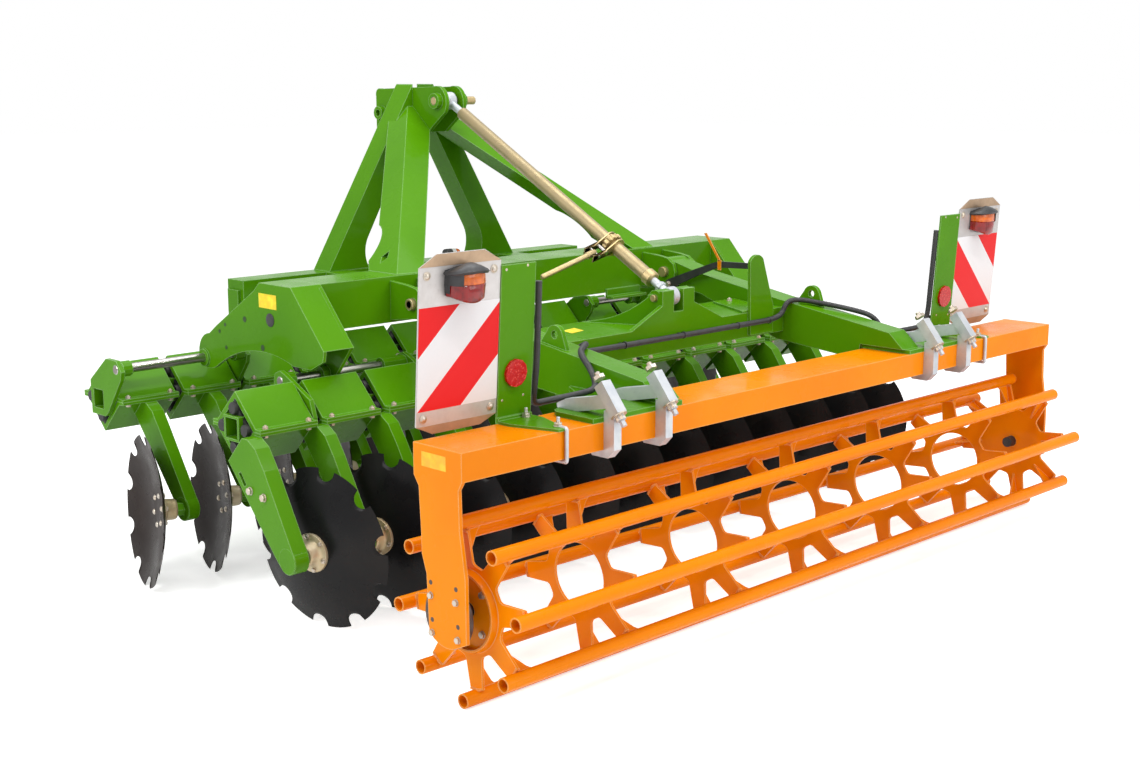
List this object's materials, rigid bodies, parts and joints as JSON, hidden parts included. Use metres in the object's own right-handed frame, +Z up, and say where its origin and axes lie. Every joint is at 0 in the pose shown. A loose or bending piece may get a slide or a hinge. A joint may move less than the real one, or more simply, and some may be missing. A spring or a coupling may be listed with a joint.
{
  "type": "disc harrow",
  "caption": "Three-point mounted compact disc harrow with two rows of notched discs on rubber-held arms, a cage roller on a hinged carrier, a depth spindle and rear lighting boards.",
  "frame": {"origin": "on the ground under the middle of the bounding box", "axes": "+X to the machine's right across the travel, +Y forward in travel, +Z up"},
  "size_m": [3.1242, 2.3082, 1.6378],
  "materials": {
    "green_paint": "gloss",
    "orange_paint": "gloss",
    "galvanised": "satin",
    "hardened_steel": "satin",
    "bright_steel": "satin",
    "yellow_zinc": "satin",
    "rubber": "matte",
    "lamp_lens": "gloss",
    "reflector_red": "gloss",
    "sign_plate": "satin"
  },
  "bodies": {
    "main_frame": {"main_beam": "green_paint", "cheeks": "green_paint", "nose_beam": "green_paint", "tower_legs": "green_paint", "top_bracket": "green_paint", "lower_link_lugs": "green_paint", "pivot_brackets": "green_paint", "frame_pins": "bright_steel", "marker_lamps": "lamp_lens", "nose_posts": "green_paint"},
    "rear_gang": {"rear_gang_tube": "green_paint", "rear_gang_shafts": "bright_steel", "rear_gang_covers": "green_paint", "rear_gang_arms": "green_paint", "rear_gang_rubbers": "rubber"},
    "front_gang": {"front_gang_tube": "green_paint", "front_gang_shafts": "bright_steel", "front_gang_covers": "green_paint", "front_gang_arms": "green_paint", "front_gang_rubbers": "rubber"},
    "roller_carrier": {"carrier_arms": "green_paint", "cross_tube": "green_paint", "eye_pin": "bright_steel", "roller_frame": "orange_paint", "roller_bearings": "orange_paint", "claw_clamps": "galvanised", "board_brackets": "green_paint", "warning_boards": "sign_plate", "tail_lamps": "lamp_lens", "reflectors": "reflector_red", "lamp_conduit": "rubber"},
    "roller": {"roller_cage": "orange_paint"},
    "spindle_sleeve": {"spindle_tube": "yellow_zinc"},
    "spindle_screw": {"spindle_rod": "bright_steel"},
    "rear_disc_01": {"rear_disc_01": "hardened_steel"},
    "rear_disc_02": {"rear_disc_02": "hardened_steel"},
    "rear_disc_03": {"rear_disc_03": "hardened_steel"},
    "rear_disc_04": {"rear_disc_04": "hardened_steel"},
    "rear_disc_05": {"rear_disc_05": "hardened_steel"},
    "rear_disc_06": {"rear_disc_06": "hardened_steel"},
    "rear_disc_07": {"rear_disc_07": "hardened_steel"},
    "rear_disc_08": {"rear_disc_08": "hardened_steel"},
    "rear_disc_09": {"rear_disc_09": "hardened_steel"},
    "rear_disc_10": {"rear_disc_10": "hardened_steel"},
    "rear_disc_11": {"rear_disc_11": "hardened_steel"},
    "rear_disc_12": {"rear_disc_12": "hardened_steel"},
    "front_disc_01": {"front_disc_01": "hardened_steel"},
    "front_disc_02": {"front_disc_02": "hardened_steel"},
    "front_disc_03": {"front_disc_03": "hardened_steel"},
    "front_disc_04": {"front_disc_04": "hardened_steel"},
    "front_disc_05": {"front_disc_05": "hardened_steel"},
    "front_disc_06": {"front_disc_06": "hardened_steel"},
    "front_disc_07": {"front_disc_07": "hardened_steel"},
    "front_disc_08": {"front_disc_08": "hardened_steel"},
    "front_disc_09": {"front_disc_09": "hardened_steel"},
    "front_disc_10": {"front_disc_10": "hardened_steel"},
    "front_disc_11": {"front_disc_11": "hardened_steel"},
    "front_disc_12": {"front_disc_12": "hardened_steel"}
  },
  "joints": [
    {"name": "rear_gang_offset", "type": "slide", "parent": "main_frame", "child": "rear_gang", "axis": [1, 0, 0], "range_m": [-0.15, 0.08]},
    {"name": "front_gang_offset", "type": "slide", "parent": "main_frame", "child": "front_gang", "axis": [1, 0, 0], "range_m": [-0.04, 0.15]},
    {"name": "rear_disc_01_spin", "type": "hinge", "parent": "rear_gang", "child": "rear_disc_01", "pos_m": [-1.3129, -0.14287, 0.25477], "axis": [-0.9772, -0.2077, -0.0436], "continuous": true},
    {"name": "rear_disc_02_spin", "type": "hinge", "parent": "rear_gang", "child": "rear_disc_02", "pos_m": [-1.0629, -0.14287, 0.25477], "axis": [-0.9772, -0.2077, -0.0436], "continuous": true},
    {"name": "rear_disc_03_spin", "type": "hinge", "parent": "rear_gang", "child": "rear_disc_03", "pos_m": [-0.8129, -0.14287, 0.25477], "axis": [-0.9772, -0.2077, -0.0436], "continuous": true},
    {"name": "rear_disc_04_spin", "type": "hinge", "parent": "rear_gang", "child": "rear_disc_04", "pos_m": [-0.5629, -0.14287, 0.25477], "axis": [-0.9772, -0.2077, -0.0436], "continuous": true},
    {"name": "rear_disc_05_spin", "type": "hinge", "parent": "rear_gang", "child": "rear_disc_05", "pos_m": [-0.3129, -0.14287, 0.25477], "axis": [-0.9772, -0.2077, -0.0436], "continuous": true},
    {"name": "rear_disc_06_spin", "type": "hinge", "parent": "rear_gang", "child": "rear_disc_06", "pos_m": [-0.0629, -0.14287, 0.25477], "axis": [-0.9772, -0.2077, -0.0436], "continuous": true},
    {"name": "rear_disc_07_spin", "type": "hinge", "parent": "rear_gang", "child": "rear_disc_07", "pos_m": [0.1871, -0.14287, 0.25477], "axis": [-0.9772, -0.2077, -0.0436], "continuous": true},
    {"name": "rear_disc_08_spin", "type": "hinge", "parent": "rear_gang", "child": "rear_disc_08", "pos_m": [0.4371, -0.14287, 0.25477], "axis": [-0.9772, -0.2077, -0.0436], "continuous": true},
    {"name": "rear_disc_09_spin", "type": "hinge", "parent": "rear_gang", "child": "rear_disc_09", "pos_m": [0.6871, -0.14287, 0.25477], "axis": [-0.9772, -0.2077, -0.0436], "continuous": true},
    {"name": "rear_disc_10_spin", "type": "hinge", "parent": "rear_gang", "child": "rear_disc_10", "pos_m": [0.9371, -0.14287, 0.25477], "axis": [-0.9772, -0.2077, -0.0436], "continuous": true},
    {"name": "rear_disc_11_spin", "type": "hinge", "parent": "rear_gang", "child": "rear_disc_11", "pos_m": [1.1871, -0.14287, 0.25477], "axis": [-0.9772, -0.2077, -0.0436], "continuous": true},
    {"name": "rear_disc_12_spin", "type": "hinge", "parent": "rear_gang", "child": "rear_disc_12", "pos_m": [1.4371, -0.14287, 0.25477], "axis": [-0.9772, -0.2077, -0.0436], "continuous": true},
    {"name": "front_disc_01_spin", "type": "hinge", "parent": "front_gang", "child": "front_disc_01", "pos_m": [-1.4879, 0.60913, 0.25477], "axis": [0.9554, -0.2921, -0.0436], "continuous": true},
    {"name": "front_disc_02_spin", "type": "hinge", "parent": "front_gang", "child": "front_disc_02", "pos_m": [-1.2379, 0.60913, 0.25477], "axis": [0.9554, -0.2921, -0.0436], "continuous": true},
    {"name": "front_disc_03_spin", "type": "hinge", "parent": "front_gang", "child": "front_disc_03", "pos_m": [-0.9879, 0.60913, 0.25477], "axis": [0.9554, -0.2921, -0.0436], "continuous": true},
    {"name": "front_disc_04_spin", "type": "hinge", "parent": "front_gang", "child": "front_disc_04", "pos_m": [-0.7379, 0.60913, 0.25477], "axis": [0.9554, -0.2921, -0.0436], "continuous": true},
    {"name": "front_disc_05_spin", "type": "hinge", "parent": "front_gang", "child": "front_disc_05", "pos_m": [-0.4879, 0.60913, 0.25477], "axis": [0.9554, -0.2921, -0.0436], "continuous": true},
    {"name": "front_disc_06_spin", "type": "hinge", "parent": "front_gang", "child": "front_disc_06", "pos_m": [-0.2379, 0.60913, 0.25477], "axis": [0.9554, -0.2921, -0.0436], "continuous": true},
    {"name": "front_disc_07_spin", "type": "hinge", "parent": "front_gang", "child": "front_disc_07", "pos_m": [0.0121, 0.60913, 0.25477], "axis": [0.9554, -0.2921, -0.0436], "continuous": true},
    {"name": "front_disc_08_spin", "type": "hinge", "parent": "front_gang", "child": "front_disc_08", "pos_m": [0.2621, 0.60913, 0.25477], "axis": [0.9554, -0.2921, -0.0436], "continuous": true},
    {"name": "front_disc_09_spin", "type": "hinge", "parent": "front_gang", "child": "front_disc_09", "pos_m": [0.5121, 0.60913, 0.25477], "axis": [0.9554, -0.2921, -0.0436], "continuous": true},
    {"name": "front_disc_10_spin", "type": "hinge", "parent": "front_gang", "child": "front_disc_10", "pos_m": [0.7621, 0.60913, 0.25477], "axis": [0.9554, -0.2921, -0.0436], "continuous": true},
    {"name": "front_disc_11_spin", "type": "hinge", "parent": "front_gang", "child": "front_disc_11", "pos_m": [1.0121, 0.60913, 0.25477], "axis": [0.9554, -0.2921, -0.0436], "continuous": true},
    {"name": "front_disc_12_spin", "type": "hinge", "parent": "front_gang", "child": "front_disc_12", "pos_m": [1.2621, 0.60913, 0.25477], "axis": [0.9554, -0.2921, -0.0436], "continuous": true},
    {"name": "roller_depth", "type": "hinge", "parent": "main_frame", "child": "roller_carrier", "pos_m": [-0.0179, 0.13413, 0.91677], "axis": [1, 0, 0], "range_deg": [-8, 6]},
    {"name": "roller_spin", "type": "hinge", "parent": "roller_carrier", "child": "roller", "pos_m": [0.0371, -0.89587, 0.25827], "axis": [1, 0, 0], "continuous": true},
    {"name": "spindle_swing", "type": "hinge", "parent": "main_frame", "child": "spindle_sleeve", "pos_m": [-0.0179, 0.75413, 1.57477], "axis": [1, 0, 0], "range_deg": [-2.9, 2.2]},
    {"name": "spindle_length", "type": "slide", "parent": "spindle_sleeve", "child": "spindle_screw", "axis": [0, -0.8726, -0.4885], "range_m": [-0.04, 0.03]}
  ],
  "couplings": [
    {"joint": "spindle_swing", "follows": "roller_depth", "ratio": 0.346},
    {"joint": "spindle_length", "follows": "roller_depth", "m_per_rad": 0.273}
  ]
}
